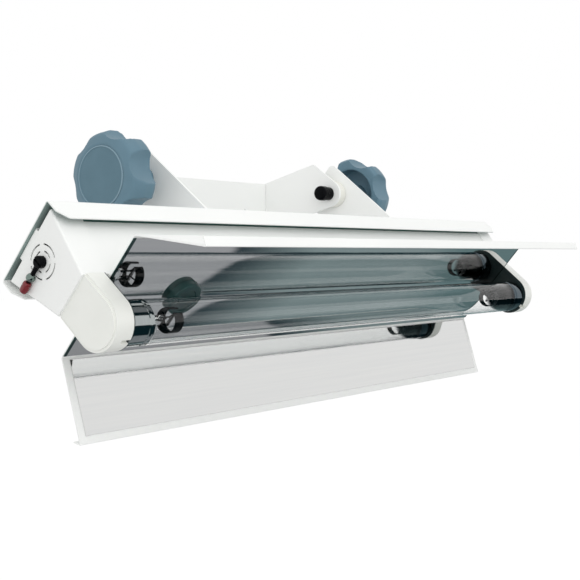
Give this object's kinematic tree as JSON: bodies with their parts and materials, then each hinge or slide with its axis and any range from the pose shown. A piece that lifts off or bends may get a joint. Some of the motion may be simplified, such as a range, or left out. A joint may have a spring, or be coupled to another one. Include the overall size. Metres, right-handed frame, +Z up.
{
  "type": "germicidal wall lamp",
  "caption": "Wall-hung germicidal tube lamp: sheet-metal body, winged mirror reflector, clear tube in round-nosed holders, lever switch, and a U yoke whose lobed knobs clamp the tilt.",
  "frame": {"origin": "middle of the yoke's back face, which lies on the wall", "axes": "+X along the tube to the end without the switch, +Y into the wall, +Z up"},
  "size_m": [0.5221, 0.2312, 0.1879],
  "materials": {
    "white_sheet": "smooth white powder coat",
    "mirror_sheet": "polished, mirror-like",
    "knob_plastic": "satin moulded",
    "knob_cap": "satin moulded",
    "bright_steel": "zinc plated",
    "black_plastic": "satin moulded",
    "pale_nylon": "plain moulded",
    "starter_plastic": "satin moulded",
    "ivory_plastic": "smooth moulded",
    "brass": "plain",
    "cap_metal": "polished",
    "clear_glass": "clear",
    "cathode_metal": "dull",
    "ballast_iron": "varnished laminations",
    "wire_jacket": "plain",
    "collar_chrome": "polished",
    "red_plastic": "smooth moulded"
  },
  "bodies": {
    "yoke": {"wall_yoke": "white_sheet", "nut_left": "black_plastic", "nut_right": "black_plastic", "spacer_left": "pale_nylon", "spacer_right": "pale_nylon"},
    "knob_left": {"knob_left": "knob_plastic", "face_cap_left": "knob_cap", "stud_left": "bright_steel"},
    "knob_right": {"knob_right": "knob_plastic", "face_cap_right": "knob_cap", "stud_right": "bright_steel"},
    "lamp": {"back_cover": "white_sheet", "ear_left": "white_sheet", "ear_right": "white_sheet", "ear_rivets": "bright_steel", "cover_screws": "bright_steel", "chassis": "white_sheet", "end_plate_left": "white_sheet", "end_plate_right": "white_sheet", "reflector_shell": "white_sheet", "main_mirror": "mirror_sheet", "upper_mirror": "mirror_sheet", "lower_mirror": "mirror_sheet", "reflector_pads": "pale_nylon", "reflector_studs": "bright_steel", "holder_left": "ivory_plastic", "holder_right": "ivory_plastic", "contacts_left": "brass", "contacts_right": "brass", "ballast": "ballast_iron", "starter_base": "pale_nylon", "terminal_block": "pale_nylon", "wiring": "wire_jacket", "switch_body": "black_plastic"},
    "tube": {"tube_glass": "clear_glass", "cap_left": "cap_metal", "cap_right": "cap_metal", "pins_left": "brass", "pins_right": "brass", "stem_left": "clear_glass", "stem_right": "clear_glass", "cathode_left": "cathode_metal", "cathode_right": "cathode_metal", "rotor_left": "ivory_plastic", "rotor_right": "ivory_plastic"},
    "starter": {"starter": "starter_plastic"},
    "lever": {"switch_lever": "black_plastic", "lever_collar": "collar_chrome", "lever_tip": "red_plastic"}
  },
  "joints": [
    {"name": "lamp_tilt", "type": "hinge", "parent": "yoke", "child": "lamp", "pos_m": [0, -0.0685, 0.0104], "axis": [1, 0, 0], "range_deg": [-40, 40]},
    {"name": "knob_left_turn", "type": "hinge", "parent": "yoke", "child": "knob_left", "pos_m": [0, -0.0685, 0.0104], "axis": [-1, 0, 0], "continuous": true},
    {"name": "knob_right_turn", "type": "hinge", "parent": "yoke", "child": "knob_right", "pos_m": [0, -0.0685, 0.0104], "axis": [1, 0, 0], "continuous": true},
    {"name": "tube_twist", "type": "hinge", "parent": "lamp", "child": "tube", "pos_m": [0, -0.16815, -0.07713], "axis": [1, 0, 0], "range_deg": [0, 90]},
    {"name": "switch_turn", "type": "hinge", "parent": "lamp", "child": "lever", "pos_m": [-0.2577, -0.12854, -0.0439], "axis": [-1, 0, 0], "range_deg": [0, 90]},
    {"name": "starter_twist", "type": "hinge", "parent": "lamp", "child": "starter", "pos_m": [-0.1725, -0.15627, -0.06717], "axis": [0, -0.766, -0.6428], "range_deg": [0, 45]}
  ]
}
